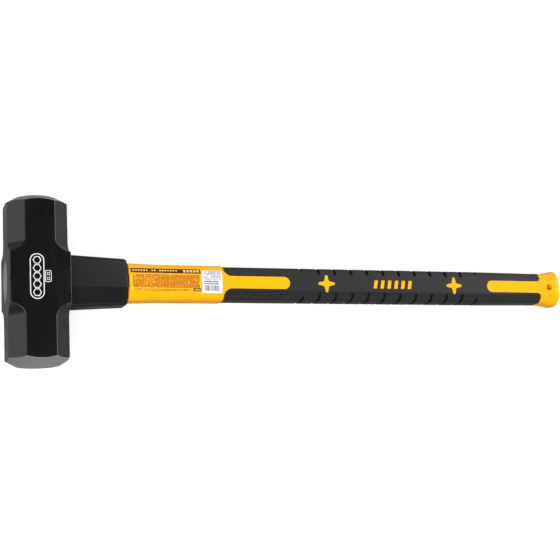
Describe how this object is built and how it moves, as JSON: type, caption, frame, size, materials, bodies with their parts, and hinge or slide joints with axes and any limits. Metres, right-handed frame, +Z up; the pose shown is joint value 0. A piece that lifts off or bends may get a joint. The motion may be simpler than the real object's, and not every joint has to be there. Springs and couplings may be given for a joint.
{
  "type": "sledgehammer",
  "caption": "Long-handled sledgehammer with an octagonal double-faced forged head, a fibreglass-cored plastic handle and a soft grooved grip.",
  "frame": {"origin": "middle of the head's lower cheek, the flat that the hammer lies on, right below the centre of the eye", "axes": "+X along the handle from the head to the butt, +Y along the head's own axis from face to face, +Z up"},
  "size_m": [0.5779, 0.155, 0.055],
  "materials": {
    "forged_head": "black lacquer over forged steel, bare ground steel on the face bevels",
    "fibreglass": "pultruded glass fibre in polyester, satin",
    "epoxy": "cast grey epoxy, semi-gloss",
    "seal_rubber": "matte",
    "guard_rubber": "moulded, satin",
    "handle_plastic": "moulded polypropylene, semi-gloss",
    "grip_rubber": "moulded thermoplastic rubber, fine matte texture",
    "label_film": "printed polypropylene film",
    "sticker_paper": "printed coated paper"
  },
  "bodies": {
    "root": {"head": "forged_head", "fibreglass_core": "fibreglass", "eye_resin": "epoxy", "eye_seal": "seal_rubber", "strike_guard": "guard_rubber", "handle_jacket": "handle_plastic", "grip_sleeve": "grip_rubber", "product_label": "label_film", "stock_sticker": "sticker_paper"}
  },
  "joints": []
}
